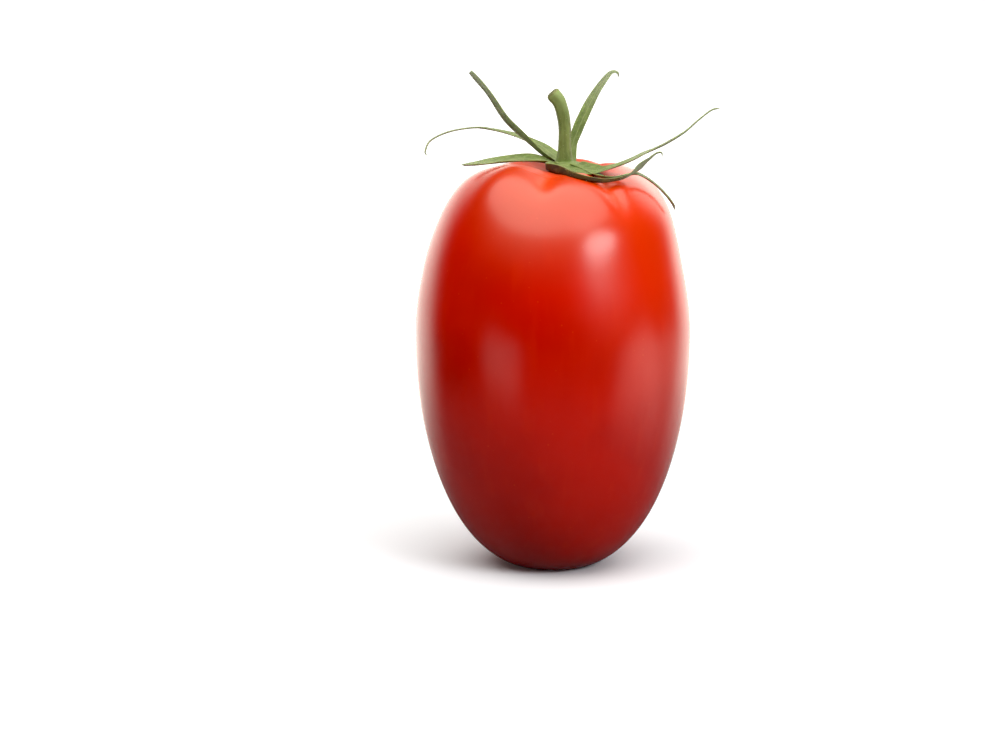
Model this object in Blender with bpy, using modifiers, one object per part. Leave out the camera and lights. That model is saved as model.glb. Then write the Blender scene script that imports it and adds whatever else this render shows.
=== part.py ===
"""A plum tomato that stands on its blossom end: the red fruit, and the green calyx with its stem.

Metres, +Z up. The origin is the middle of the small flat spot that the fruit rests on, and the
fruit's axis is the Z axis. +X is to the right and +Y goes away when the fruit is seen from its front.
"""

import math

import bmesh
import bpy
from mathutils import Matrix, Vector

MM = 0.001

# The fruit's turned shape, in millimetres
FRUIT_RADIUS = 26.0
WIDEST_HEIGHT = 44.5
CROWN_RISE = 32.3
CROWN_POWER = 3.9
SHOULDER_TUCK = 0.58
TUCK_FREE_RADIUS = 14.0
BASE_DROP = 45.5
BASE_POWER = 2.5
FLAT_RADIUS = 7.5

# The hollow round the stem, and how far the crown leans to the right, in millimetres
HOLLOW_DEPTH = 2.8
HOLLOW_RADIUS = 11.5
CROWN_SHIFT = 1.7
CROWN_SHIFT_RADIUS = 15.0
LEAN = 0.75
LEAN_RISE = (12.0, 28.0)
CROWN_TILT = 0.05
TILT_RISE = (14.0, 30.0)

# Furrows between the shoulder lobes: azimuth from the front towards the right in degrees, depth in mm
FURROWS = ((-12, 1.1), (34, 1.2), (88, 0.9), (140, 1.0), (192, 1.1), (243, 0.9), (297, 0.8))
FURROW_WIDTH = 3.0
FURROW_START = (2.5, 9.0)
FURROW_END = (14.0, 28.0)
BODY_LOBES = 3
BODY_LOBE_SHARE = 0.005
BODY_LOBE_TURN = math.radians(20)

SEGMENTS = 64
CURVED_RINGS = 38
FLAT_RINGS = 3
PROFILE_SAMPLES = 2000

# The calyx, in millimetres
CALYX_CENTRE = Vector((2.4, 0.0, 75.75))
RECEPTACLE_RADIUS = 4.4
RECEPTACLE_HALF_HEIGHT = 1.2
SEPAL_THICKNESS = 0.7
SEPAL_CUP = 0.22
SEPAL_STEPS = 22
SEPAL_COLUMNS = 4
LEAST_HALF_WIDTH = 0.42

WELD_DISTANCE = 0.001 * MM

# Stem: x, y, z and radius of the points on its middle line
STEM = (
    (2.3, 0.0, 75.6, 1.75),
    (2.1, 0.0, 77.4, 1.45),
    (2.0, 0.0, 79.8, 1.2),
    (2.0, 0.0, 82.8, 1.15),
    (1.6, 0.0, 85.7, 1.2),
    (0.9, 0.0, 87.8, 1.27),
    (-0.1, 0.0, 89.1, 1.35),
)
STEM_STEPS = 16
STEM_BEVEL_RESOLUTION = 3

# Sepals: x, y, z, half width and roll in degrees of the points on the middle line. A positive roll
# lowers the edge that is on the right when looking from the base to the tip.
SEPALS = {
    "left": (
        (1.0, 0.0, 76.2, 1.8, 0),
        (-3.4, 0.2, 76.9, 2.4, -8),
        (-6.2, 0.2, 76.9, 2.7, -10),
        (-9.0, 0.2, 76.7, 2.6, -10),
        (-12.1, 0.0, 76.6, 2.0, -10),
        (-14.7, 0.0, 76.2, 1.1, -10),
        (-17.3, 0.0, 76.1, 0.4, -10),
    ),
    "left_rising": (
        (1.2, 1.2, 76.2, 1.6, 0),
        (-1.9, 2.4, 77.8, 1.4, 30),
        (-5.4, 3.0, 80.9, 1.2, 50),
        (-9.0, 4.0, 84.3, 1.0, 55),
        (-12.5, 5.0, 89.5, 0.8, 55),
        (-15.4, 6.0, 93.0, 0.5, 55),
    ),
    "left_thread": (
        (2.0, 1.6, 76.2, 1.8, 0),
        (-0.6, 5.0, 77.8, 1.7, 0),
        (-2.8, 7.0, 79.2, 1.5, 0),
        (-7.2, 9.0, 80.9, 0.9, 0),
        (-11.6, 10.0, 82.0, 0.4, 0),
        (-15.0, 10.0, 82.3, 0.3, 0),
        (-19.7, 9.0, 81.6, 0.3, 0),
        (-23.2, 8.0, 80.0, 0.3, 0),
        (-24.2, 7.0, 78.0, 0.3, 0),
        (-23.8, 6.5, 77.2, 0.3, 0),
    ),
    "back_rising": (
        (3.0, 1.4, 76.2, 1.8, 0),
        (4.1, 4.0, 79.5, 1.5, -15),
        (4.8, 5.0, 82.0, 1.5, -25),
        (5.8, 6.0, 84.4, 1.5, -25),
        (8.1, 8.0, 88.8, 1.2, -25),
        (10.4, 9.0, 92.1, 0.7, -20),
        (11.5, 9.0, 92.9, 0.4, -20),
        (12.3, 9.0, 92.6, 0.3, -20),
        (12.3, 9.0, 91.8, 0.3, -20),
    ),
    "right_thread": (
        (3.0, -1.2, 76.2, 1.8, 0),
        (5.2, -6.0, 76.4, 2.4, 12),
        (8.0, -9.8, 76.2, 2.8, 20),
        (11.6, -10.3, 76.7, 2.3, 20),
        (16.6, -8.0, 79.1, 1.1, 15),
        (20.7, -6.0, 80.9, 0.5, 0),
        (24.0, -5.0, 82.6, 0.3, 0),
        (26.7, -4.0, 84.8, 0.3, 0),
        (29.1, -3.0, 86.5, 0.3, 0),
        (30.8, -2.0, 86.8, 0.3, 0),
    ),
    "front": (
        (1.6, -1.2, 76.2, 1.8, 0),
        (0.0, -6.5, 76.4, 1.6, -20),
        (1.4, -12.8, 76.2, 1.3, -35),
        (4.9, -15.8, 75.0, 1.2, -20),
        (7.6, -16.5, 74.7, 1.0, 0),
        (10.5, -15.8, 75.0, 0.9, 10),
        (13.5, -13.6, 75.6, 0.9, 20),
        (15.7, -12.0, 76.8, 0.9, 40),
        (17.1, -11.0, 78.0, 0.7, 60),
        (18.8, -10.4, 79.1, 0.4, 60),
        (19.8, -10.2, 79.0, 0.3, 60),
        (19.6, -10.2, 78.2, 0.3, 60),
    ),
    "right_drooping": (
        (3.2, 0.0, 76.2, 1.8, 0),
        (8.6, -1.6, 76.6, 2.0, 0),
        (12.2, -4.0, 76.3, 1.6, 0),
        (14.8, -5.0, 75.3, 1.1, 0),
        (17.3, -5.0, 73.9, 0.8, 0),
        (19.3, -4.5, 72.3, 0.6, 0),
        (20.9, -4.0, 70.8, 0.5, 0),
        (22.1, -3.5, 69.3, 0.4, 0),
        (22.7, -3.0, 67.9, 0.3, 0),
    ),
}


def remove_scene_objects():
    for existing in list(bpy.data.objects):
        bpy.data.objects.remove(existing, do_unlink=True)


def new_collection(name):
    collection = bpy.data.collections.new(name)
    bpy.context.scene.collection.children.link(collection)
    return collection


def principled(name, colour, roughness):
    material = bpy.data.materials.new(name)
    material.use_nodes = True
    shader = material.node_tree.nodes["Principled BSDF"]
    shader.inputs["Base Color"].default_value = (*colour, 1.0)
    shader.inputs["Roughness"].default_value = roughness
    shader.inputs["Metallic"].default_value = 0.0
    material.diffuse_color = (*colour, 1.0)
    return material


def smoothstep(start, end, value):
    share = min(max((value - start) / (end - start), 0.0), 1.0)
    return share * share * (3 - 2 * share)


def crown_point(angle):
    """Radius and height of the turned shape above its widest ring. The angle is 0 on the axis."""
    radius = FRUIT_RADIUS * math.sin(angle) ** (2 / CROWN_POWER)
    tuck = SHOULDER_TUCK * math.sin(math.pi * math.cos(angle)) ** 2
    radius -= tuck * smoothstep(0, TUCK_FREE_RADIUS, radius)
    return radius, WIDEST_HEIGHT + CROWN_RISE * math.cos(angle)


def base_point(angle):
    """Radius and height of the turned shape below its widest ring. The angle is 0 on the axis."""
    radius = FRUIT_RADIUS * math.sin(angle) ** (2 / BASE_POWER)
    return radius, WIDEST_HEIGHT - BASE_DROP * math.cos(angle)


def dense_profile():
    """The turned shape from the crown's middle to the edge of the flat spot."""
    quarter = math.pi / 2
    points = []
    for step in range(PROFILE_SAMPLES + 1):
        # The square packs the steps near the axis, where the radius grows fastest
        points.append(crown_point(quarter * (step / PROFILE_SAMPLES) ** 2))
    for step in range(1, PROFILE_SAMPLES + 1):
        point = base_point(quarter * (1 - step / PROFILE_SAMPLES))
        if point[1] <= 0 or point[0] < FLAT_RADIUS:
            break
        points.append(point)
    points.append((FLAT_RADIUS, 0.0))
    return points


def even_profile():
    """(radius, height, way from the crown's middle) at even steps along the turned shape, and the flat spot."""
    points = dense_profile()
    ways = [0.0]
    for (r0, z0), (r1, z1) in zip(points, points[1:]):
        ways.append(ways[-1] + math.hypot(r1 - r0, z1 - z0))
    rings = []
    index = 0
    for ring in range(CURVED_RINGS + 1):
        way = ways[-1] * ring / CURVED_RINGS
        while ways[index + 1] < way and index < len(ways) - 2:
            index += 1
        share = (way - ways[index]) / (ways[index + 1] - ways[index])
        radius = points[index][0] + share * (points[index + 1][0] - points[index][0])
        height = points[index][1] + share * (points[index + 1][1] - points[index][1])
        rings.append((radius, height, way))
    for ring in range(1, FLAT_RINGS + 1):
        rings.append((FLAT_RADIUS * (1 - ring / FLAT_RINGS), 0.0, ways[-1] + ring))
    return rings


def profile_normal(rings, ring):
    """The outward direction of the turned shape, as (radial, up)."""
    before = rings[max(ring - 1, 0)]
    after = rings[min(ring + 1, len(rings) - 1)]
    along = Vector((after[0] - before[0], after[1] - before[1])).normalized()
    return -along[1], along[0]


def furrow_depth(azimuth, radius, way):
    """How far the furrows take the surface in, at an azimuth from the front towards the right."""
    window = smoothstep(*FURROW_START, way) * (1 - smoothstep(*FURROW_END, way))
    depth = 0.0
    for degrees, deepest in FURROWS:
        turn = azimuth - math.radians(degrees)
        if math.cos(turn) > 0:
            depth += deepest * math.exp(-((radius * math.sin(turn) / FURROW_WIDTH) ** 2))
    return depth * window


def fruit_point(azimuth, ring, rings):
    """A point of the skin. The flat spot stays exactly flat."""
    radius, height, way = rings[ring]
    if ring >= CURVED_RINGS:
        return Vector((radius * math.sin(azimuth), -radius * math.cos(azimuth), 0.0))
    radial, up = profile_normal(rings, ring)
    depth = furrow_depth(azimuth, radius, way)
    rise = height - WIDEST_HEIGHT
    roundness = smoothstep(0, FRUIT_RADIUS, radius) * smoothstep(0, WIDEST_HEIGHT, height)
    lobe = math.cos(BODY_LOBES * (azimuth - BODY_LOBE_TURN))
    out = radius * (1 + BODY_LOBE_SHARE * lobe * roundness) - depth * radial
    height -= depth * up
    shift = 0.0
    if rise > 0:
        height -= HOLLOW_DEPTH * max(1 - (radius / HOLLOW_RADIUS) ** 2, 0) ** 2
        shift = LEAN * smoothstep(*LEAN_RISE, rise)
        shift += CROWN_SHIFT * (1 - smoothstep(0, CROWN_SHIFT_RADIUS, radius))
    height -= CROWN_TILT * out * math.cos(azimuth) * smoothstep(*TILT_RISE, rise)
    return Vector((out * math.sin(azimuth) + shift, -out * math.cos(azimuth), height))


def make_fruit(collection):
    """A UV sphere whose rings are laid on the turned shape, with its lobes, furrows and hollow."""
    rings = even_profile()
    ring_count = len(rings) - 1
    bm = bmesh.new()
    bmesh.ops.create_uvsphere(bm, u_segments=SEGMENTS, v_segments=ring_count, radius=1.0)
    for vertex in bm.verts:
        polar = math.acos(max(-1.0, min(1.0, vertex.co.z)))
        ring = round(polar / math.pi * ring_count)
        azimuth = math.atan2(vertex.co.x, -vertex.co.y)
        vertex.co = fruit_point(azimuth, ring, rings) * MM
    mesh = bpy.data.meshes.new("fruit")
    bm.to_mesh(mesh)
    bm.free()
    mesh.shade_smooth()
    fruit = bpy.data.objects.new("fruit", mesh)
    fruit.data.materials.append(principled("tomato_skin", (0.62, 0.018, 0.004), 0.28))
    collection.objects.link(fruit)
    return fruit


def smooth_line(stations, steps):
    """A Catmull-Rom curve through the stations, each a tuple of any length, read at even steps."""
    ends = [2 * Vector(stations[0]) - Vector(stations[1])]
    points = ends + [Vector(station) for station in stations]
    points.append(2 * points[-1] - points[-2])
    spans = len(stations) - 1
    line = []
    for step in range(steps + 1):
        place = spans * step / steps
        span = min(int(place), spans - 1)
        t = place - span
        before, start, end, after = points[span : span + 4]
        line.append(
            0.5
            * (
                2 * start
                + t * (end - before)
                + t * t * (2 * before - 5 * start + 4 * end - after)
                + t * t * t * (3 * start - before - 3 * end + after)
            )
        )
    return line


def blade_frames(line):
    """Middle, half width, across and face directions along a sepal, carried along without twist."""
    middles = [Vector(point[:3]) for point in line]
    frames = []
    across = None
    for index, point in enumerate(line):
        after = middles[min(index + 1, len(line) - 1)]
        before = middles[max(index - 1, 0)]
        along = (after - before).normalized()
        if across is None:
            across = along.cross(Vector((0, 0, 1)))
        across = (across - across.dot(along) * along).normalized()
        rolled = Matrix.Rotation(math.radians(point[4]), 3, along) @ across
        frames.append((middles[index], max(point[3], LEAST_HALF_WIDTH), rolled, rolled.cross(along)))
    return frames


def finished_mesh(source):
    """The object's mesh with its modifiers applied, or a curve's tube, with the caps welded on."""
    bpy.context.view_layer.update()
    graph = bpy.context.evaluated_depsgraph_get()
    mesh = bpy.data.meshes.new_from_object(source.evaluated_get(graph), depsgraph=graph)
    bm = bmesh.new()
    bm.from_mesh(mesh)
    bmesh.ops.remove_doubles(bm, verts=bm.verts, dist=WELD_DISTANCE)
    bm.to_mesh(mesh)
    bm.free()
    return mesh


def replace_with_mesh(source, name, collection):
    """Puts a mesh object in the place of a curve or of an object with modifiers."""
    solid = bpy.data.objects.new(name, finished_mesh(source))
    solid.matrix_world = source.matrix_world
    collection.objects.link(solid)
    bpy.data.objects.remove(source, do_unlink=True)
    return solid


def make_sepal(name, stations, collection):
    """A thin cupped blade along its middle line: an open surface with Solidify."""
    bm = bmesh.new()
    rows = []
    for middle, half_width, across, face in blade_frames(smooth_line(stations, SEPAL_STEPS)):
        row = []
        for column in range(SEPAL_COLUMNS + 1):
            side = 2 * column / SEPAL_COLUMNS - 1
            lift = SEPAL_CUP * half_width * side * side
            row.append(bm.verts.new((middle + across * side * half_width + face * lift) * MM))
        rows.append(row)
    for near, far in zip(rows, rows[1:]):
        for column in range(SEPAL_COLUMNS):
            bm.faces.new((near[column], near[column + 1], far[column + 1], far[column]))
    mesh = bpy.data.meshes.new(name)
    bm.to_mesh(mesh)
    bm.free()
    blade = bpy.data.objects.new(name + "_blade", mesh)
    collection.objects.link(blade)
    blade.modifiers.new("Triangulate", "TRIANGULATE")
    solidify = blade.modifiers.new("Solidify", "SOLIDIFY")
    solidify.thickness = SEPAL_THICKNESS * MM
    solidify.offset = 0
    return replace_with_mesh(blade, name, collection)


def make_stem(collection):
    """The cut stem: a curve with a bevel, thicker where it leaves the receptacle and at its cut end."""
    line = smooth_line(STEM, STEM_STEPS)
    curve = bpy.data.curves.new("stem_line", "CURVE")
    curve.dimensions = "3D"
    curve.bevel_depth = MM
    curve.bevel_resolution = STEM_BEVEL_RESOLUTION
    curve.use_fill_caps = True
    spline = curve.splines.new("POLY")
    spline.points.add(len(line) - 1)
    for point, place in zip(spline.points, line):
        point.co = (*(Vector(place[:3]) * MM), 1.0)
        point.radius = place[3]
    tube = bpy.data.objects.new("stem_tube", curve)
    collection.objects.link(tube)
    return replace_with_mesh(tube, "stem", collection)


def make_receptacle(collection):
    """The disc in the hollow that the sepals and the stem grow from."""
    bm = bmesh.new()
    bmesh.ops.create_uvsphere(bm, u_segments=24, v_segments=12, radius=1.0)
    for vertex in bm.verts:
        vertex.co.x *= RECEPTACLE_RADIUS * MM
        vertex.co.y *= RECEPTACLE_RADIUS * MM
        vertex.co.z *= RECEPTACLE_HALF_HEIGHT * MM
        vertex.co += CALYX_CENTRE * MM
    mesh = bpy.data.meshes.new("calyx")
    bm.to_mesh(mesh)
    bm.free()
    calyx = bpy.data.objects.new("calyx", mesh)
    collection.objects.link(calyx)
    return calyx


def make_calyx(collection, repeats):
    """Receptacle, sepals and stem, joined by one union."""
    receptacle = make_receptacle(collection)
    make_stem(repeats)
    for name, stations in SEPALS.items():
        make_sepal(name, stations, repeats)
    union = receptacle.modifiers.new("Union", "BOOLEAN")
    union.operation = "UNION"
    union.operand_type = "COLLECTION"
    union.collection = repeats
    union.solver = "MANIFOLD"
    mesh = finished_mesh(receptacle)
    receptacle.modifiers.clear()
    receptacle.data = mesh
    for used in list(repeats.objects):
        bpy.data.objects.remove(used, do_unlink=True)
    mesh.materials.clear()
    mesh.materials.append(principled("calyx_green", (0.16, 0.22, 0.07), 0.6))
    mesh.shade_smooth()
    mesh.set_sharp_from_angle(angle=math.radians(40))
    return receptacle


def main():
    remove_scene_objects()
    tomato = new_collection("tomato")
    repeats = new_collection("calyx_repeats")
    make_fruit(tomato)
    make_calyx(tomato, repeats)


main()
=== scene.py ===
"""The looks of the plum tomato: its skin, the calyx with its stem and hairs, and a plain white studio.

Lengths are in millimetres where a name or comment doesn't say otherwise, and the meshes are in metres.
"""

import math
import random

import bmesh
import bpy
from mathutils import Matrix, Vector, noise

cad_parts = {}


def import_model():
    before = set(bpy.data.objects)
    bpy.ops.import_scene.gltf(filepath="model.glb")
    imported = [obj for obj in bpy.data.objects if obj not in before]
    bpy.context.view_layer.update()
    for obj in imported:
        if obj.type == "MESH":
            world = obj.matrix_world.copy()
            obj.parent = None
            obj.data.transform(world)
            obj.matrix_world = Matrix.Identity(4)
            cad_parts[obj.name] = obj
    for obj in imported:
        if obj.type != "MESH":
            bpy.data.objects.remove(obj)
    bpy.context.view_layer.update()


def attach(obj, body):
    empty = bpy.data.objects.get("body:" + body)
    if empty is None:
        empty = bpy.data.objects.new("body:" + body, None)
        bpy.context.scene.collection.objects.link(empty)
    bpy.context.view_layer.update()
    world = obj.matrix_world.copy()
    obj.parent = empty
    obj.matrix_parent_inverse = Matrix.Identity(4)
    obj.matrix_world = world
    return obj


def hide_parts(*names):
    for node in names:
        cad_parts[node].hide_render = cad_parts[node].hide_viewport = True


MM = 0.001

# The photograph's frame and the camera that matches it, in pixels, degrees and millimetres
PHOTO_WIDTH = 987
FOCAL_PIXELS = 2640
SENSOR_WIDTH = 36.0
CAMERA_ELEVATION = 9.5
CAMERA_DISTANCE = 500.0
CAMERA_TARGET = Vector((-11.27, 0.0, 37.2))

# The fruit's turned shape, as in the CAD model
FRUIT_RADIUS = 26.0
WIDEST_HEIGHT = 44.5
CROWN_RISE = 32.3
CROWN_POWER = 3.9
SHOULDER_TUCK = 0.58
TUCK_FREE_RADIUS = 14.0
BASE_DROP = 45.5
BASE_POWER = 2.5
BASE_FILLET = 0.35

# The hollow round the stem, the lean of the crown and the furrows, as in the CAD model
HOLLOW_DEPTH = 2.8
HOLLOW_RADIUS = 11.5
CROWN_SHIFT = 1.7
CROWN_SHIFT_RADIUS = 15.0
LEAN = 0.75
LEAN_RISE = (12.0, 28.0)
CROWN_TILT = 0.05
TILT_RISE = (14.0, 30.0)
# Each furrow: its azimuth, the depth of its narrow crease and of the broad dip round it, and how far
# from the crown's middle the crease reaches. A dip below zero is a raised lobe. They were set against
# the photograph again, so they are a few degrees and tenths of a millimetre off the CAD model's.
FURROWS = (
    (-46, 0.0, -0.8, 18),
    (-11, 0.6, 0.5, 21),
    (35, 0.5, 0.3, 26),
    (80, 0.0, 0.15, 18),
    (135, 0.4, 0.6, 21),
    (190, 0.3, 0.7, 20),
    (243, 0.25, 0.6, 21),
)
CREASE_WIDTH = 1.9
CREASE_START = (7.0, 13.0)
CREASE_FADE = 8.0
DIP_WIDTH = 4.5
FURROW_START = (2.5, 9.0)
FURROW_END = (14.0, 28.0)
BODY_LOBES = 3
BODY_LOBE_SHARE = 0.005
BODY_LOBE_TURN = math.radians(20)

# The skin's own relief
SKIN_SEGMENTS = 256
SKIN_RINGS = 200
PROFILE_SAMPLES = 4000
WAVE_HEIGHT = 0.06
WAVE_LENGTH = 9.0
WRINKLES = 14
WRINKLE_HEIGHT = 0.035
# The ways from the crown's middle where the wrinkles are highest and where they end
WRINKLE_REACH = (3.0, 10.0)

# Stem: x, y, z and radius of the points on its middle line, as in the CAD model
STEM = (
    (2.2, 0.0, 75.6, 1.9),
    (2.0, 0.0, 77.4, 1.5),
    (2.0, 0.0, 79.8, 1.2),
    (2.0, 0.0, 82.8, 1.15),
    (1.6, 0.0, 85.7, 1.2),
    (0.9, 0.0, 87.8, 1.27),
    (-0.1, 0.0, 89.1, 1.35),
)
STEM_STEPS = 72
STEM_SIDES = 40
STEM_RIBS = 5
STEM_RIB_SHARE = 0.05
STEM_RIB_TWIST = 1.5
STEM_LUMP_SHARE = 0.05
# The cut's torn lip: its height, where it is round the stem and how wide, and how rough the cut is
TORN_LIP = 0.2
TORN_LIP_TURN = 1.5 * math.pi
TORN_LIP_WIDTH = 0.45
CUT_ROUGHNESS = 0.1
# The domed cut: the share of the radius and the rise of each ring
STEM_END = ((0.95, 0.2), (0.84, 0.42), (0.64, 0.6), (0.34, 0.7))

CALYX_CENTRE = Vector((2.4, 0.0, 75.75))
RECEPTACLE_RADIUS = 3.5
RECEPTACLE_HALF_HEIGHT = 1.2
RECEPTACLE_RIBS = 7
RECEPTACLE_RIB_SHARE = 0.04

# Sepals: x, y, z, half width and roll in degrees of the points on the middle line, close to the CAD
# model's. A positive roll lowers the edge on the right when looking from the base to the tip.
SEPALS = {
    "left": (
        (1.0, 0.0, 76.2, 1.8, 0),
        (-3.4, 0.2, 76.9, 2.4, -8),
        (-6.2, 0.2, 77.0, 2.7, -8),
        (-9.0, 0.2, 76.8, 2.6, -8),
        (-12.1, 0.0, 76.5, 2.0, -10),
        (-14.7, 0.0, 76.2, 1.1, -10),
        (-17.3, 0.0, 76.1, 0.3, -10),
    ),
    "left_rising": (
        (1.2, 1.2, 76.2, 1.3, 0),
        (-1.9, 2.4, 77.8, 0.9, 30),
        (-5.4, 3.0, 80.9, 0.95, 50),
        (-9.0, 4.0, 84.3, 0.95, 55),
        (-12.6, 5.0, 89.5, 0.8, 55),
        (-15.7, 6.0, 93.0, 0.72, 55),
    ),
    "left_thread": (
        (2.0, 1.6, 76.2, 1.8, 0),
        (-0.6, 5.0, 77.8, 1.7, 0),
        (-2.8, 7.0, 79.2, 1.5, 0),
        (-7.2, 9.0, 80.9, 0.9, 0),
        (-11.6, 10.0, 82.0, 0.4, 0),
        (-15.0, 10.0, 82.3, 0.2, 0),
        (-19.7, 9.0, 81.6, 0.2, 0),
        (-23.2, 8.0, 80.0, 0.2, 0),
        (-24.2, 7.0, 78.0, 0.2, 0),
        (-23.8, 6.5, 77.2, 0.2, 0),
    ),
    "back_rising": (
        (3.0, 1.4, 76.2, 1.3, 0),
        (3.7, 4.0, 79.5, 1.0, -15),
        (4.7, 5.0, 82.0, 1.4, -25),
        (5.8, 6.0, 84.4, 1.5, -25),
        (8.1, 8.0, 88.8, 1.2, -25),
        (10.4, 9.0, 92.1, 0.7, -20),
        (11.5, 9.0, 92.9, 0.4, -20),
        (12.3, 9.0, 92.6, 0.3, -20),
        (12.3, 9.0, 91.8, 0.2, -20),
    ),
    "right_thread": (
        (3.0, -1.2, 76.2, 1.8, 0),
        (3.9, -3.5, 76.0, 1.9, 15),
        (5.8, -7.0, 75.7, 2.1, 20),
        (7.6, -8.8, 75.7, 1.9, 20),
        (9.2, -9.2, 76.1, 1.35, 18),
        (11.0, -8.8, 76.6, 1.1, 16),
        (12.9, -8.2, 77.2, 1.0, 16),
        (14.8, -7.6, 78.0, 0.85, 16),
        (16.6, -7.0, 78.9, 0.7, 16),
        (18.5, -6.6, 79.7, 0.5, 10),
        (20.7, -6.0, 80.7, 0.35, 0),
        (24.0, -5.0, 82.6, 0.25, 0),
        (26.7, -4.0, 84.8, 0.2, 0),
        (29.1, -3.0, 86.5, 0.2, 0),
        (30.8, -2.0, 86.8, 0.2, 0),
    ),
    "front": (
        (1.6, -1.2, 76.2, 1.4, 0),
        (-1.3, -5.0, 76.0, 1.0, -60),
        (-0.3, -7.5, 75.8, 1.2, -75),
        (1.1, -10.0, 75.6, 1.15, -80),
        (2.9, -12.2, 75.1, 0.9, -80),
        (4.7, -13.2, 74.8, 0.75, -75),
        (6.7, -13.6, 74.5, 0.6, -75),
        (8.7, -13.4, 74.3, 0.5, -70),
        (10.5, -12.8, 74.4, 0.45, -65),
        (12.2, -11.8, 74.7, 0.42, -60),
        (13.9, -10.8, 75.4, 0.42, -60),
        (15.4, -10.3, 76.4, 0.95, -70),
        (16.6, -10.2, 77.5, 0.75, -65),
        (17.8, -10.2, 78.6, 0.28, -45),
        (18.7, -10.2, 79.2, 0.22, -30),
        (19.5, -10.2, 79.2, 0.2, -20),
        (19.6, -10.2, 78.3, 0.2, -20),
    ),
    "right_drooping": (
        (3.2, 0.0, 76.2, 1.8, 0),
        (5.7, -5.0, 75.8, 1.2, 0),
        (7.9, -10.8, 75.1, 0.9, -10),
        (9.8, -12.2, 74.8, 0.6, -30),
        (11.7, -11.6, 74.9, 0.55, -30),
        (13.5, -10.6, 75.3, 0.5, -15),
        (15.1, -9.6, 75.3, 0.5, 25),
        (16.6, -8.2, 74.6, 0.48, 30),
        (18.4, -6.8, 73.3, 0.45, 32),
        (19.9, -5.8, 71.9, 0.42, 32),
        (21.3, -5.0, 70.3, 0.38, 32),
        (22.1, -4.4, 69.1, 0.35, 0),
        (22.5, -4.0, 68.0, 0.25, 0),
    ),
}
SEPAL_STEPS = 120
SEPAL_COLUMNS = 16
SEPAL_CUP = 0.22
LEAST_HALF_WIDTH = 0.17
RIB_THICKNESS = 0.5
RIB_WIDTH = 0.45
EDGE_THICKNESS = 0.16
MIDRIB_FURROW = 0.07
MIDRIB_FURROW_WIDTH = 0.12
EDGE_WAVE = 0.22
EDGE_WAVE_LENGTH = 5.0
TIP_LENGTH = 1.2
FINE_TIP = 0.3
BLUNT_TIP = 0.85
# How far from the base the underside carries painted shade, a dark maroon standing in for shadow and the
# fruit's red bounce light, in general and on the front sepal, and the way over which it fades
PAINTED_SHADE_REACH = 5.0
FRONT_PAINTED_SHADE_REACH = 27.0
PAINTED_SHADE_FADE = 4.0

# Linear colours of the skin
DEEP_RED = (0.50, 0.0055, 0.0006)
BODY_RED = (0.57, 0.0075, 0.0008)
# Painted light: a brighter orange red for the upper right shoulder, where the light falls; the faint
# streaks use it too
PAINTED_LIGHT_AND_STREAK_RED = (0.72, 0.030, 0.002)
# Partly the crown's own orange and partly painted light: a warm tint for the overhead highlight on the
# crown
CROWN_ORANGE_AND_HIGHLIGHT_TINT = (0.51, 0.042, 0.004)
FURROW_ORANGE = (0.70, 0.052, 0.004)
HOLLOW_ORANGE = (0.58, 0.060, 0.006)
SPECK_ORANGE = (0.80, 0.10, 0.015)

# Linear colours of the calyx. A pair is the dark and the light end of a mottle.
SEPAL_TOP = ((0.107, 0.153, 0.034), (0.197, 0.258, 0.078))
# Painted light: a lighter green further along the upper face, standing in for the light the sepals catch
# there
SEPAL_TOP_PAINTED_LIGHT = (0.29, 0.345, 0.19)
SEPAL_UNDER = ((0.13, 0.165, 0.072), (0.22, 0.265, 0.125))
# Painted shade: dark maroon for the undersides near the base, standing in for shadow and the fruit's red
# bounce light
SEPAL_PAINTED_SHADE = ((0.040, 0.012, 0.001), (0.10, 0.048, 0.006))
# Painted light: paler towards the tips, standing in for the bright light round the thin tips
SEPAL_TIP_PAINTED_LIGHT = (0.36, 0.40, 0.28)
SEPAL_EDGE = (0.34, 0.37, 0.15)
SEPAL_VEIN = (0.085, 0.135, 0.03)
SEPAL_RIB = (0.33, 0.38, 0.17)
STEM_GREEN = ((0.095, 0.125, 0.028), (0.20, 0.255, 0.077))
STEM_TOP = (0.26, 0.34, 0.12)
STEM_FOOT = (0.12, 0.21, 0.03)
CUT_RIM = (0.17, 0.18, 0.06)
CUT_MIDDLE = (0.09, 0.10, 0.03)
HAIR_PALE = ((0.30, 0.36, 0.18), (0.50, 0.54, 0.34))

HAIR_SEED = 7
HAIRS = 1500
HAIR_LENGTH = (0.2, 0.5)
HAIR_RADIUS = 0.016
HAIR_LEAN = 0.5
HAIR_SINK = 0.05

# Floors: name, albedo, reach in millimetres, fade in metres, glow and opacity at the fade's far end,
# and the rays that see it
FLOORS = (
    ("floor", 0.9, 4000, (0.06, 0.5), 1.0, 1.0, "camera"),
    ("floor_bounce", 0.15, 4000, (1.0, 4.0), 0.0, 1.0, "diffuse"),
    ("floor_near", 0.4, 300, (0.025, 0.25), 0.0, 0.0, "glossy"),
)
FLOOR_RAYS = ("camera", "diffuse", "glossy")
FLOOR_GAP = 0.2
# The floor's tint evens out the warm light
COOL_WHITE = (0.92, 0.96, 1.06)
WARM_WHITE = (1.0, 0.96, 0.86)
BLACK_POINT = 0.0045

# The glows that the fruit sees round it: azimuth, elevation, inner and outer angle in degrees, and
# radiance
GLOWS = (
    (-155, -10, 16, 44, 2.4),
    (160, -12, 16, 42, 2.2),
    (78, -26, 5, 31, 2.8),
    (112, -30, 5, 32, 1.3),
    (-39, -13, 1, 12, 1.4),
    (-53, -9, 1, 12, 1.2),
    (145, 34, 9, 32, 2.6),
    (30, 40, 3, 16, 1.0),
    (-16, 76, 16, 58, 1.4),
)
# The least radiance, where there is no glow
DARK_SIDE = 0.015
# The sines of the elevations between which the glows fade out downwards
GLOW_FLOOR = (-0.75, -0.35)
# How much of the glows lights the matte colours
DIFFUSE_SHARE = 0.5

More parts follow.
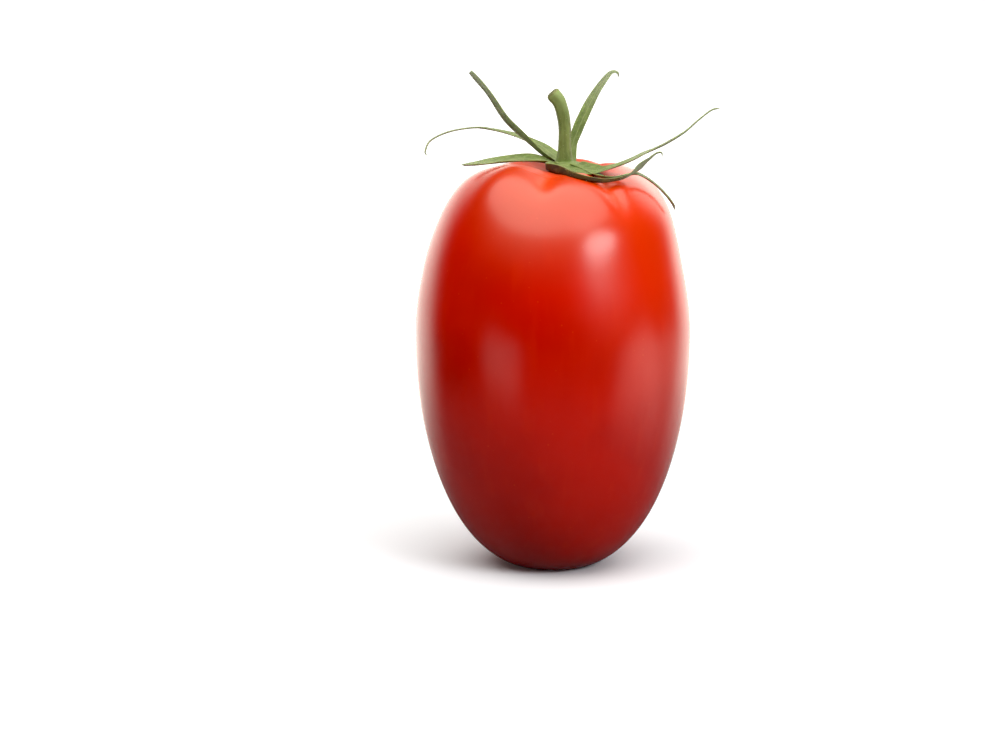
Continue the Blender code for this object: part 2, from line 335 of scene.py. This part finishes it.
# Softboxes: name, azimuth, elevation, distance and size in metres, radiance, colour, and whether the
# gloss shows it
SOFTBOXES = (
    ("overhead", -16, 76, 0.75, (1.45, 1.1), 2.6, WARM_WHITE, True),
    ("right_front", 43, 27, 0.8, (0.42, 0.21), 10.5, (1.0, 1.0, 0.98), True),
    ("right_fill", 50, 20, 0.9, (0.6, 0.6), 2.3, WARM_WHITE, False),
    ("left_fill", -75, 5, 0.9, (0.6, 0.6), 1.4, WARM_WHITE, False),
)


def smoothstep(start, end, value):
    share = min(max((value - start) / (end - start), 0.0), 1.0)
    return share * share * (3 - 2 * share)


def new_object(name, bm):
    """A mesh object at the origin from a bmesh in millimetres, shaded smooth."""
    bmesh.ops.scale(bm, vec=(MM, MM, MM), verts=bm.verts)
    mesh = bpy.data.meshes.new(name)
    bm.to_mesh(mesh)
    bm.free()
    mesh.shade_smooth()
    piece = bpy.data.objects.new(name, mesh)
    bpy.context.scene.collection.objects.link(piece)
    return piece


def set_attribute(mesh, name, values):
    """Stores one number for each vertex, for a material to read."""
    attribute = mesh.attributes.new(name, "FLOAT", "POINT")
    attribute.data.foreach_set("value", values)


def dress(piece, material, node):
    """Gives a piece its material and its place in the frame."""
    piece.data.materials.append(material)
    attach(piece, "root")
    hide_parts(node)


# Fruit


def crown_point(angle):
    """Radius and height of the turned shape above its widest ring. The angle is 0 on the axis."""
    radius = FRUIT_RADIUS * math.sin(angle) ** (2 / CROWN_POWER)
    tuck = SHOULDER_TUCK * math.sin(math.pi * math.cos(angle)) ** 2
    radius -= tuck * smoothstep(0, TUCK_FREE_RADIUS, radius)
    return radius, WIDEST_HEIGHT + CROWN_RISE * math.cos(angle)


def base_point(angle):
    """Radius and height below the widest ring, with the rest spot flattened by a soft fillet."""
    radius = FRUIT_RADIUS * math.sin(angle) ** (2 / BASE_POWER)
    height = WIDEST_HEIGHT - BASE_DROP * math.cos(angle)
    return radius, (height + math.hypot(height, BASE_FILLET)) / 2


def even_profile():
    """(radius, height, way from the crown's middle) at even steps along the turned shape."""
    quarter = math.pi / 2
    points = []
    for step in range(PROFILE_SAMPLES + 1):
        # The square packs the steps near the axis, where the radius grows fastest
        points.append(crown_point(quarter * (step / PROFILE_SAMPLES) ** 2))
    for step in range(1, PROFILE_SAMPLES + 1):
        points.append(base_point(quarter * (1 - (step / PROFILE_SAMPLES))))
    ways = [0.0]
    for (r0, z0), (r1, z1) in zip(points, points[1:]):
        ways.append(ways[-1] + math.hypot(r1 - r0, z1 - z0))
    rings = []
    index = 0
    for ring in range(SKIN_RINGS + 1):
        way = ways[-1] * ring / SKIN_RINGS
        while ways[index + 1] < way and index < len(ways) - 2:
            index += 1
        share = (way - ways[index]) / (ways[index + 1] - ways[index])
        radius = points[index][0] + share * (points[index + 1][0] - points[index][0])
        height = points[index][1] + share * (points[index + 1][1] - points[index][1])
        rings.append((radius, height, way))
    return rings


def profile_normal(rings, ring):
    """The outward direction of the turned shape, as (radial, up)."""
    before = rings[max(ring - 1, 0)]
    after = rings[min(ring + 1, len(rings) - 1)]
    along = Vector((after[0] - before[0], after[1] - before[1])).normalized()
    return -along[1], along[0]


def furrow_depth(azimuth, radius, way):
    """How far the furrows take the surface in, at an azimuth from the front towards the right."""
    window = smoothstep(*FURROW_START, way)
    dipped = window * (1 - smoothstep(*FURROW_END, way))
    depth = 0.0
    if dipped == 0:
        return depth
    for degrees, crease, dip, reach in FURROWS:
        turn = azimuth - math.radians(degrees)
        if math.cos(turn) > 0:
            aside = radius * math.sin(turn)
            creased = smoothstep(*CREASE_START, way) * (1 - smoothstep(reach - CREASE_FADE, reach, way))
            depth += creased * crease * math.exp(-((aside / CREASE_WIDTH) ** 2))
            depth += dipped * dip * math.exp(-((aside / DIP_WIDTH) ** 2))
    return depth


def skin_relief(azimuth, radius, height, way):
    """Soft waves all over, and fine wrinkles that run into the hollow."""
    place = Vector((radius * math.sin(azimuth), -radius * math.cos(azimuth), height * 0.6))
    relief = WAVE_HEIGHT * noise.noise(place / WAVE_LENGTH) * smoothstep(1.0, 8.0, height)
    near, far = WRINKLE_REACH
    fade = smoothstep(0.5, near, way) * (1 - smoothstep(near, far, way))
    ripple = math.sin(WRINKLES * azimuth + 2.5 * math.sin(2 * azimuth))
    return relief + WRINKLE_HEIGHT * fade * ripple


def fruit_point(azimuth, ring, rings):
    """A point of the skin, and how deep it lies in a furrow."""
    radius, height, way = rings[ring]
    radial, up = profile_normal(rings, ring)
    furrow = furrow_depth(azimuth, radius, way)
    depth = furrow - skin_relief(azimuth, radius, height, way)
    rise = height - WIDEST_HEIGHT
    roundness = smoothstep(0, FRUIT_RADIUS, radius) * smoothstep(0, WIDEST_HEIGHT, height)
    lobe = math.cos(BODY_LOBES * (azimuth - BODY_LOBE_TURN))
    out = radius * (1 + BODY_LOBE_SHARE * lobe * roundness) - depth * radial
    height -= depth * up
    shift = 0.0
    if rise > 0:
        height -= HOLLOW_DEPTH * max(1 - (radius / HOLLOW_RADIUS) ** 2, 0) ** 2
        shift = LEAN * smoothstep(*LEAN_RISE, rise)
        shift += CROWN_SHIFT * (1 - smoothstep(0, CROWN_SHIFT_RADIUS, radius))
        height -= CROWN_TILT * out * math.cos(azimuth) * smoothstep(*TILT_RISE, rise)
    return Vector((out * math.sin(azimuth) + shift, -out * math.cos(azimuth), height)), furrow


def make_fruit():
    """The skin: a fine UV sphere laid on the turned shape, with what the material reads."""
    rings = even_profile()
    bm = bmesh.new()
    bmesh.ops.create_uvsphere(bm, u_segments=SKIN_SEGMENTS, v_segments=SKIN_RINGS, radius=1.0)
    furrows = []
    ways = []
    for vertex in bm.verts:
        polar = math.acos(max(-1.0, min(1.0, vertex.co.z)))
        ring = round(polar / math.pi * SKIN_RINGS)
        azimuth = math.atan2(vertex.co.x, -vertex.co.y)
        vertex.co, furrow = fruit_point(azimuth, ring, rings)
        furrows.append(furrow)
        ways.append(rings[ring][2])
    fruit = new_object("fruit_skin", bm)
    set_attribute(fruit.data, "furrow", furrows)
    set_attribute(fruit.data, "way", ways)
    return fruit


# Calyx


def smooth_line(stations, steps):
    """A Catmull-Rom curve through the stations, each a tuple of any length, read at even steps."""
    ends = [2 * Vector(stations[0]) - Vector(stations[1])]
    points = ends + [Vector(station) for station in stations]
    points.append(2 * points[-1] - points[-2])
    spans = len(stations) - 1
    line = []
    for step in range(steps + 1):
        place = spans * step / steps
        span = min(int(place), spans - 1)
        t = place - span
        before, start, end, after = points[span : span + 4]
        line.append(
            0.5
            * (
                2 * start
                + t * (end - before)
                + t * t * (2 * before - 5 * start + 4 * end - after)
                + t * t * t * (3 * start - before - 3 * end + after)
            )
        )
    return line


def blade_frames(line):
    """Middle, half width, across, face and way along a sepal, carried along without twist."""
    middles = [Vector(point[:3]) for point in line]
    frames = []
    across = None
    way = 0.0
    for index, point in enumerate(line):
        after = middles[min(index + 1, len(line) - 1)]
        before = middles[max(index - 1, 0)]
        along = (after - before).normalized()
        if across is None:
            across = along.cross(Vector((0, 0, 1)))
        across = (across - across.dot(along) * along).normalized()
        rolled = Matrix.Rotation(math.radians(point[4]), 3, along) @ across
        if index:
            way += (middles[index] - middles[index - 1]).length
        frames.append((middles[index], max(point[3], LEAST_HALF_WIDTH), rolled, rolled.cross(along), way))
    return frames


def blade_section(half_width, way, phase):
    """(side, up, share across) round one cross-section: over the top and back underneath."""
    broad = smoothstep(0.3, 1.4, half_width)
    section = []
    for turn in range(2 * SEPAL_COLUMNS):
        top = turn <= SEPAL_COLUMNS
        column = turn if top else 2 * SEPAL_COLUMNS - turn
        u = -math.cos(math.pi * column / SEPAL_COLUMNS)
        wave = noise.noise(Vector((way / EDGE_WAVE_LENGTH, 3.0 * phase, 1.5 * (u > 0))))
        middle = SEPAL_CUP * half_width * u * u + EDGE_WAVE * broad * wave * abs(u) ** 3
        ribbed = math.exp(-((u / RIB_WIDTH) ** 2))
        thickness = EDGE_THICKNESS + (RIB_THICKNESS - EDGE_THICKNESS) * ribbed
        thickness = min(thickness, 1.6 * half_width)
        half = 0.5 * thickness * math.sqrt(max(1 - u**4, 0.0))
        furrow = MIDRIB_FURROW * broad * math.exp(-((u / MIDRIB_FURROW_WIDTH) ** 2))
        side = u * half_width
        if top:
            section.append((side, middle + half - furrow, u))
        else:
            section.append((side, middle - half * 1.1, u))
    return section


def make_sepal(name, stations, phase, tip_share, shade_reach):
    """A thin closed blade with a midrib, a cupped and slightly waved face and a soft edge."""
    bm = bmesh.new()
    rows = []
    across_values = []
    along_values = []
    top_values = []
    shade_values = []
    frames = blade_frames(smooth_line(stations, SEPAL_STEPS))
    length = frames[-1][4]
    for middle, half_width, across, face, way in frames:
        taper = 1 - (1 - tip_share) * smoothstep(length - TIP_LENGTH, length, way)
        row = []
        for index, (side, up, u) in enumerate(blade_section(half_width * taper, way, phase)):
            row.append(bm.verts.new(middle + across * side + face * up))
            across_values.append(u)
            along_values.append(way)
            top_values.append(1.0 if index <= SEPAL_COLUMNS else 0.0)
            # Painted shade on the underside near the base
            shade_values.append(1 - smoothstep(shade_reach - PAINTED_SHADE_FADE, shade_reach, way))
        rows.append(row)
    around = 2 * SEPAL_COLUMNS
    for near, far in zip(rows, rows[1:]):
        for turn in range(around):
            after = (turn + 1) % around
            bm.faces.new((near[turn], near[after], far[after], far[turn]))
    bm.faces.new(rows[0][::-1])
    bm.faces.new(rows[-1])
    bmesh.ops.recalc_face_normals(bm, faces=bm.faces)
    blade = new_object("sepal_" + name, bm)
    set_attribute(blade.data, "across", across_values)
    set_attribute(blade.data, "along", along_values)
    set_attribute(blade.data, "top", top_values)
    set_attribute(blade.data, "painted_shade", shade_values)
    return blade


def make_stem():
    """The cut stem: ribbed, flared at its foot, with a slightly domed cut end."""
    line = smooth_line(STEM, STEM_STEPS)
    middles = [Vector(point[:3]) for point in line]
    bm = bmesh.new()
    rows = []
    along_values = []
    side = Vector((0, 1, 0))
    for index, point in enumerate(line):
        along = (middles[min(index + 1, STEM_STEPS)] - middles[max(index - 1, 0)]).normalized()
        other = along.cross(side).normalized()
        share = index / STEM_STEPS
        row = []
        for turn in range(STEM_SIDES):
            angle = 2 * math.pi * turn / STEM_SIDES
            rib = 1 + STEM_RIB_SHARE * math.cos(STEM_RIBS * angle + STEM_RIB_TWIST * share)
            spot = Vector((math.cos(angle), math.sin(angle), 6 * share))
            lump = 1 + STEM_LUMP_SHARE * noise.noise(spot)
            radius = point[3] * rib * lump
            place = middles[index] + radius * (math.cos(angle) * side + math.sin(angle) * other)
            row.append(bm.verts.new(place))
            along_values.append(share)
        rows.append(row)
    along = (middles[-1] - middles[-2]).normalized()
    for turn, vertex in enumerate(rows[STEM_STEPS]):
        angle = 2 * math.pi * turn / STEM_SIDES
        lip = TORN_LIP * math.exp(-(((angle - TORN_LIP_TURN) / TORN_LIP_WIDTH) ** 2))
        rough = CUT_ROUGHNESS * noise.noise(Vector((3 * math.cos(angle), 3 * math.sin(angle), 0)))
        vertex.co += along * (lip + rough)
    for share, rise in STEM_END:
        row = []
        for vertex in rows[STEM_STEPS]:
            place = middles[-1] + (vertex.co - middles[-1]) * share + along * rise
            row.append(bm.verts.new(place))
            along_values.append(1.0 + (1 - share))
        rows.append(row)
    for near, far in zip(rows, rows[1:]):
        for turn in range(STEM_SIDES):
            after = (turn + 1) % STEM_SIDES
            bm.faces.new((near[turn], near[after], far[after], far[turn]))
    bm.faces.new(rows[0][::-1])
    bm.faces.new(rows[-1])
    bmesh.ops.recalc_face_normals(bm, faces=bm.faces)
    stem = new_object("stem", bm)
    set_attribute(stem.data, "along", along_values)
    return stem


def make_receptacle():
    """The disc that the sepals and the stem grow from."""
    bm = bmesh.new()
    bmesh.ops.create_uvsphere(bm, u_segments=56, v_segments=28, radius=1.0)
    top_values = []
    for vertex in bm.verts:
        top_values.append(smoothstep(-0.1, 0.3, vertex.co.z))
        turn = math.atan2(vertex.co.y, vertex.co.x)
        ribs = 1 + RECEPTACLE_RIB_SHARE * math.cos(RECEPTACLE_RIBS * turn)
        vertex.co.x *= RECEPTACLE_RADIUS * ribs
        vertex.co.y *= RECEPTACLE_RADIUS * ribs
        vertex.co.z *= RECEPTACLE_HALF_HEIGHT
        vertex.co += CALYX_CENTRE
    disc = new_object("receptacle", bm)
    count = len(disc.data.vertices)
    set_attribute(disc.data, "across", [0.5] * count)
    set_attribute(disc.data, "along", [1.0] * count)
    set_attribute(disc.data, "top", top_values)
    # Painted shade: the disc's whole underside is painted dark maroon
    set_attribute(disc.data, "painted_shade", [1.0] * count)
    return disc


def make_hairs(blades, stem):
    """Fine seeded hairs on the sepals and the stem, each a slim three-sided spike."""
    draw = random.Random(HAIR_SEED)
    faces = []
    for piece in (*blades, stem):
        mesh = piece.data
        for polygon in mesh.polygons:
            faces.append((polygon.area, polygon.center / MM, polygon.normal.copy()))
    weights = [face[0] for face in faces]
    bm = bmesh.new()
    for _, root, normal in draw.choices(faces, weights, k=HAIRS):
        lean = Vector((draw.uniform(-1, 1), draw.uniform(-1, 1), draw.uniform(-1, 1)))
        along = (normal + HAIR_LEAN * lean).normalized()
        side = along.orthogonal().normalized()
        other = along.cross(side)
        length = draw.uniform(*HAIR_LENGTH)
        foot = root - normal * HAIR_SINK
        ring = []
        for corner in range(3):
            angle = 2 * math.pi * corner / 3
            offset = HAIR_RADIUS * (math.cos(angle) * side + math.sin(angle) * other)
            ring.append(bm.verts.new(foot + offset))
        tip = bm.verts.new(foot + along * (length + HAIR_SINK))
        bm.faces.new(ring[::-1])
        for corner in range(3):
            bm.faces.new((ring[corner], ring[(corner + 1) % 3], tip))
    return new_object("calyx_hairs", bm)


# Materials


class Nodes:
    """A short way to build the node tree of a material or a world."""

    def __init__(self, owner):
        owner.use_nodes = True
        self.owner = owner
        self.tree = owner.node_tree

    def add(self, kind, **settings):
        node = self.tree.nodes.new("ShaderNode" + kind)
        for key, value in settings.items():
            setattr(node, key, value)
        return node

    def link(self, source, target):
        self.tree.links.new(source, target)

    def place(self):
        return self.add("TexCoord").outputs["Object"]

    def attribute(self, name):
        return self.add("Attribute", attribute_name=name).outputs["Fac"]

    def noise(self, vector, scale, detail=2.0, roughness=0.5):
        node = self.add("TexNoise")
        node.inputs["Scale"].default_value = scale
        node.inputs["Detail"].default_value = detail
        node.inputs["Roughness"].default_value = roughness
        self.link(vector, node.inputs["Vector"])
        return node.outputs["Fac"]

    def stretch(self, vector, scale):
        node = self.add("VectorMath", operation="MULTIPLY")
        node.inputs[1].default_value = scale
        self.link(vector, node.inputs[0])
        return node.outputs[0]

    def remap(self, value, low, high, to_low=0.0, to_high=1.0):
        node = self.add("MapRange", interpolation_type="SMOOTHSTEP")
        node.inputs["From Min"].default_value = low
        node.inputs["From Max"].default_value = high
        node.inputs["To Min"].default_value = to_low
        node.inputs["To Max"].default_value = to_high
        self.link(value, node.inputs["Value"])
        return node.outputs["Result"]

    def math(self, operation, first, second):
        node = self.add("Math", operation=operation)
        for socket, value in zip(node.inputs, (first, second)):
            if isinstance(value, (int, float)):
                socket.default_value = value
            else:
                self.link(value, socket)
        return node.outputs[0]

    def mix(self, share, first, second):
        node = self.add("Mix", data_type="RGBA")
        sockets = (node.inputs["Factor"], node.inputs[6], node.inputs[7])
        for socket, value in zip(sockets, (share, first, second)):
            if isinstance(value, (int, float)):
                socket.default_value = value
            elif isinstance(value, tuple):
                socket.default_value = (*value, 1.0)
            else:
                self.link(value, socket)
        return node.outputs[2]

    def bump(self, height, strength, distance, under=None):
        node = self.add("Bump")
        node.inputs["Strength"].default_value = strength
        node.inputs["Distance"].default_value = distance
        self.link(height, node.inputs["Height"])
        if under is not None:
            self.link(under, node.inputs["Normal"])
        return node.outputs["Normal"]


def material_nodes(name):
    """The nodes of a new material, and its shader."""
    nodes = Nodes(bpy.data.materials.new(name))
    return nodes, nodes.tree.nodes["Principled BSDF"]


def skin_material():
    """Ripe waxy skin: deep red, orange in the furrows, painted light making the upper right shoulder a
    brighter orange red, a little translucent.
    """
    nodes, shader = material_nodes("tomato_skin")
    place = nodes.place()
    furrow = nodes.attribute("furrow")
    way = nodes.attribute("way")
    split = nodes.add("SeparateXYZ")
    nodes.link(place, split.inputs[0])
    # Painted light: the upper right side is painted a brighter orange red, standing in for the light from
    # the right
    right = nodes.remap(split.outputs["X"], -0.004, 0.026)
    painted_light = nodes.math("MULTIPLY", right, nodes.remap(way, 70, 30))
    broad = nodes.noise(place, 55, 2)
    streaks = nodes.noise(nodes.stretch(place, (1, 1, 0.18)), 420, 3)
    colour = nodes.mix(nodes.remap(broad, 0.35, 0.65), DEEP_RED, BODY_RED)
    # The crown, all but its far left side, turns more orange: partly its own tone, partly a painted warm
    # tint of the highlight there
    inward = nodes.remap(split.outputs["X"], -0.021, -0.006)
    crown = nodes.math("MULTIPLY", nodes.remap(way, 40, 18), inward)
    colour = nodes.mix(nodes.math("MULTIPLY", crown, 0.9), colour, CROWN_ORANGE_AND_HIGHLIGHT_TINT)
    colour = nodes.mix(nodes.math("MULTIPLY", painted_light, 0.85), colour, PAINTED_LIGHT_AND_STREAK_RED)
    colour = nodes.mix(nodes.remap(furrow, 0.15, 1.1, 0.0, 0.85), colour, FURROW_ORANGE)
    colour = nodes.mix(nodes.remap(way, 9, 3, 0.0, 0.7), colour, HOLLOW_ORANGE)
    # Faint streaks of the skin's own, in the same brighter orange red
    colour = nodes.mix(nodes.remap(streaks, 0.5, 0.8, 0.0, 0.12), colour, PAINTED_LIGHT_AND_STREAK_RED)
    specks = nodes.add("TexVoronoi")
    specks.inputs["Scale"].default_value = 750
    nodes.link(place, specks.inputs["Vector"])
    speck = nodes.remap(specks.outputs["Distance"], 0.16, 0.06, 0.0, 0.2)
    few = nodes.remap(nodes.noise(place, 260, 2), 0.52, 0.68)
    speck = nodes.math("MULTIPLY", speck, few)
    colour = nodes.mix(speck, colour, SPECK_ORANGE)
    nodes.link(colour, shader.inputs["Base Color"])
    # The skin is glossy, and dull in the hollow
    wax = nodes.remap(nodes.noise(place, 120, 3), 0.3, 0.7, 0.23, 0.27)
    dull = nodes.remap(way, 13, 8, 0.2, 0.55)
    nodes.link(nodes.math("MAXIMUM", wax, dull), shader.inputs["Roughness"])
    nodes.link(nodes.bump(nodes.noise(place, 1400, 3), 0.04, 0.00006), shader.inputs["Normal"])
    shader.inputs["IOR"].default_value = 1.5
    shader.inputs["Subsurface Weight"].default_value = 0.12
    shader.inputs["Subsurface Radius"].default_value = (1.0, 0.12, 0.05)
    shader.inputs["Subsurface Scale"].default_value = 0.003
    return nodes.owner


def sepal_material():
    """Matte hairy green with long veins, paler at the edge, painted light making it paler towards the
    tip, and painted shade dark underneath near the base.
    """
    nodes, shader = material_nodes("sepal_green")
    place = nodes.place()
    across = nodes.attribute("across")
    along = nodes.attribute("along")
    top = nodes.attribute("top")
    mottle = nodes.noise(place, 700, 4, 0.6)
    patchy = nodes.remap(mottle, 0.3, 0.7)
    upper = nodes.mix(patchy, *SEPAL_TOP)
    # Painted light: the upper face turns lighter further from the base
    upper = nodes.mix(nodes.remap(along, 9, 20, 0.0, 0.6), upper, SEPAL_TOP_PAINTED_LIGHT)
    under = nodes.mix(patchy, *SEPAL_UNDER)
    painted_dark_under = nodes.mix(patchy, *SEPAL_PAINTED_SHADE)
    # Painted light: both faces turn paler towards the tip
    pale = nodes.remap(along, 10, 24, 0.0, 0.6)
    upper = nodes.mix(pale, upper, SEPAL_TIP_PAINTED_LIGHT)
    under = nodes.mix(pale, under, SEPAL_TIP_PAINTED_LIGHT)
    # Painted shade: the underside near the base turns dark maroon, for shadow and the fruit's red bounce
    # light
    under = nodes.mix(nodes.attribute("painted_shade"), under, painted_dark_under)
    colour = nodes.mix(top, under, upper)
    edge = nodes.remap(nodes.math("ABSOLUTE", across, 0), 0.9, 1.0, 0.0, 0.7)
    colour = nodes.mix(edge, colour, SEPAL_EDGE)
    combine = nodes.add("CombineXYZ")
    nodes.link(nodes.math("MULTIPLY", across, 3.2), combine.inputs[0])
    nodes.link(nodes.math("MULTIPLY", along, 0.22), combine.inputs[1])
    veins = nodes.noise(combine.outputs[0], 2.2, 3, 0.6)
    vein = nodes.remap(veins, 0.55, 0.42, 0.0, 0.45)
    vein = nodes.math("MULTIPLY", vein, top)
    colour = nodes.mix(vein, colour, SEPAL_VEIN)
    rib = nodes.remap(nodes.math("ABSOLUTE", across, 0), 0.12, 0.03, 0.0, 0.4)
    rib = nodes.math("MULTIPLY", rib, top)
    colour = nodes.mix(rib, colour, SEPAL_RIB)
    nodes.link(colour, shader.inputs["Base Color"])
    shader.inputs["Roughness"].default_value = 0.6
    shader.inputs["Specular IOR Level"].default_value = 0.3
    shader.inputs["Sheen Weight"].default_value = 0.08
    shader.inputs["Subsurface Weight"].default_value = 0.25
    shader.inputs["Subsurface Radius"].default_value = (0.6, 1.0, 0.2)
    shader.inputs["Subsurface Scale"].default_value = 0.0006
    relief = nodes.bump(veins, 0.5, 0.0002)
    nodes.link(nodes.bump(mottle, 0.4, 0.0001, relief), shader.inputs["Normal"])
    return nodes.owner


def stem_material():
    """Green stem, streaked along its length, brighter at its foot, with a dull olive cut."""
    nodes, shader = material_nodes("stem_green")
    place = nodes.place()
    along = nodes.attribute("along")
    mottle = nodes.noise(nodes.stretch(place, (1, 1, 0.25)), 900, 4, 0.6)
    colour = nodes.mix(nodes.remap(mottle, 0.3, 0.7), *STEM_GREEN)
    colour = nodes.mix(nodes.remap(along, 0.5, 0.9, 0.0, 0.7), colour, STEM_TOP)
    colour = nodes.mix(nodes.remap(along, 0.2, 0.05, 0.0, 0.7), colour, STEM_FOOT)
    colour = nodes.mix(nodes.remap(along, 1.0, 1.1), colour, CUT_RIM)
    colour = nodes.mix(nodes.remap(along, 1.15, 1.4), colour, CUT_MIDDLE)
    nodes.link(colour, shader.inputs["Base Color"])
    shader.inputs["Roughness"].default_value = 0.6
    shader.inputs["Specular IOR Level"].default_value = 0.3
    shader.inputs["Sheen Weight"].default_value = 0.1
    shader.inputs["Subsurface Weight"].default_value = 0.15
    shader.inputs["Subsurface Radius"].default_value = (0.6, 1.0, 0.2)
    shader.inputs["Subsurface Scale"].default_value = 0.0006
    nodes.link(nodes.bump(mottle, 0.5, 0.00015), shader.inputs["Normal"])
    return nodes.owner


def hair_material():
    """Pale translucent hairs."""
    nodes, shader = material_nodes("calyx_hair")
    tint = nodes.remap(nodes.noise(nodes.place(), 300, 2), 0.35, 0.65)
    colour = nodes.mix(tint, *HAIR_PALE)
    nodes.link(colour, shader.inputs["Base Color"])
    shader.inputs["Roughness"].default_value = 0.6
    return nodes.owner


# Studio


def make_camera():
    """Looks at the fruit as the photograph does."""
    camera = bpy.data.cameras.new("camera")
    camera.sensor_width = SENSOR_WIDTH
    camera.lens = FOCAL_PIXELS / PHOTO_WIDTH * SENSOR_WIDTH
    camera.clip_start = 0.01
    holder = bpy.data.objects.new("camera", camera)
    elevation = math.radians(CAMERA_ELEVATION)
    back = Vector((0, -math.cos(elevation), math.sin(elevation)))
    holder.location = (CAMERA_TARGET + back * CAMERA_DISTANCE) * MM
    holder.rotation_euler = (math.pi / 2 - elevation, 0, 0)
    bpy.context.scene.collection.objects.link(holder)
    bpy.context.scene.camera = holder


def floor_material(name, albedo, fade, glow, opacity):
    """Matte white that over its fade turns dark, or glows, or turns sheer."""
    nodes, shader = material_nodes(name)
    length = nodes.add("VectorMath", operation="LENGTH")
    nodes.link(nodes.place(), length.inputs[0])
    share = nodes.remap(length.outputs["Value"], *fade)
    near_colour = tuple(albedo * channel for channel in COOL_WHITE)
    nodes.link(nodes.mix(share, near_colour, (0.8 * glow,) * 3), shader.inputs["Base Color"])
    nodes.link(nodes.math("MULTIPLY", share, glow), shader.inputs["Emission Strength"])
    nodes.link(nodes.remap(length.outputs["Value"], *fade, 1.0, opacity), shader.inputs["Alpha"])
    shader.inputs["Emission Color"].default_value = (1.0, 1.0, 1.0, 1.0)
    shader.inputs["Roughness"].default_value = 0.9
    shader.inputs["Specular IOR Level"].default_value = 0.0
    return nodes.owner


def make_floors():
    """A plain pale floor in three layers, each for one kind of ray.

    The camera sees a white one, which glows a little far from the fruit, where the lamps fade. A
    dimmer one throws light on the fruit. The fruit's gloss shows the shaded floor close to it.
    """
    for name, albedo, reach, fade, glow, opacity, ray in FLOORS:
        bm = bmesh.new()
        bmesh.ops.create_circle(bm, cap_ends=True, segments=96, radius=reach)
        bmesh.ops.translate(bm, verts=bm.verts, vec=(0, 0, -FLOOR_GAP * FLOOR_RAYS.index(ray)))
        floor = new_object(name, bm)
        floor.data.materials.append(floor_material(name, albedo, fade, glow, opacity))
        floor.visible_camera = ray == "camera"
        floor.visible_diffuse = ray == "diffuse"
        floor.visible_glossy = ray == "glossy"
        floor.visible_shadow = False


def direction(azimuth, elevation):
    """A unit vector. Azimuth is from the front towards the right, in degrees."""
    turn, rise = math.radians(azimuth), math.radians(elevation)
    return Vector((math.sin(turn) * math.cos(rise), -math.cos(turn) * math.cos(rise), math.sin(rise)))


def add_softbox(name, azimuth, elevation, distance, size, radiance, colour, glossy):
    """An oval light aimed at the fruit."""
    light = bpy.data.lights.new(name, "AREA")
    light.shape = "ELLIPSE"
    light.size, light.size_y = size
    light.energy = radiance * math.pi * size[0] * size[1] * math.pi / 4
    light.color = colour
    holder = bpy.data.objects.new(name, light)
    away = direction(azimuth, elevation)
    holder.location = Vector((0, 0, WIDEST_HEIGHT * MM)) + away * distance
    holder.rotation_euler = away.to_track_quat("Z", "Y").to_euler()
    holder.visible_camera = False
    holder.visible_glossy = glossy
    bpy.context.scene.collection.objects.link(holder)


def make_world():
    """Plain white to the camera. The fruit sees soft glows: the bright backdrop and pale cards."""
    world = bpy.data.worlds.new("studio")
    bpy.context.scene.world = world
    # Without light sampling, the floor hides the glows from the fruit's diffuse rays
    world.cycles.sampling_method = "NONE"
    nodes = Nodes(world)
    sky = nodes.add("TexCoord").outputs["Generated"]
    total = DARK_SIDE
    for azimuth, elevation, inner, outer, radiance in GLOWS:
        dot = nodes.add("VectorMath", operation="DOT_PRODUCT")
        dot.inputs[1].default_value = direction(azimuth, elevation)
        nodes.link(sky, dot.inputs[0])
        far, near = math.cos(math.radians(outer)), math.cos(math.radians(inner))
        total = nodes.math("ADD", nodes.remap(dot.outputs["Value"], far, near, 0.0, radiance), total)
    split = nodes.add("SeparateXYZ")
    nodes.link(sky, split.inputs[0])
    total = nodes.math("MULTIPLY", total, nodes.remap(split.outputs["Z"], *GLOW_FLOOR))
    rays = nodes.add("LightPath").outputs
    share = nodes.remap(rays["Is Glossy Ray"], 0.0, 1.0, DIFFUSE_SHARE, 1.0)
    total = nodes.math("MULTIPLY", total, share)
    strength = nodes.add("Mix")
    strength.inputs[3].default_value = 1.0
    nodes.link(rays["Is Camera Ray"], strength.inputs[0])
    nodes.link(total, strength.inputs[2])
    background = nodes.tree.nodes["Background"]
    nodes.link(strength.outputs[0], background.inputs["Strength"])
    tint = nodes.mix(rays["Is Camera Ray"], WARM_WHITE, (1.0, 1.0, 1.0))
    nodes.link(tint, background.inputs["Color"])


def make_studio():
    """The camera, the floor, the light and how the view turns light into colour."""
    make_camera()
    make_floors()
    make_world()
    for softbox in SOFTBOXES:
        add_softbox(*softbox)
    scene = bpy.context.scene
    scene.view_settings.view_transform = "Standard"
    scene.view_settings.use_curve_mapping = True
    scene.view_settings.curve_mapping.black_level = (BLACK_POINT,) * 3
    scene.cycles.use_denoising = True


def main():
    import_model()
    make_studio()
    dress(make_fruit(), skin_material(), "fruit")
    green = sepal_material()
    blades = []
    for phase, (name, stations) in enumerate(SEPALS.items()):
        tip_share = BLUNT_TIP if name == "left_rising" else FINE_TIP
        # The front sepal's underside carries its painted shade further along
        shade_reach = FRONT_PAINTED_SHADE_REACH if name == "front" else PAINTED_SHADE_REACH
        blades.append(make_sepal(name, stations, phase, tip_share, shade_reach))
        dress(blades[-1], green, "calyx")
    dress(make_receptacle(), green, "calyx")
    stem = make_stem()
    dress(stem, stem_material(), "calyx")
    dress(make_hairs(blades, stem), hair_material(), "calyx")


main()
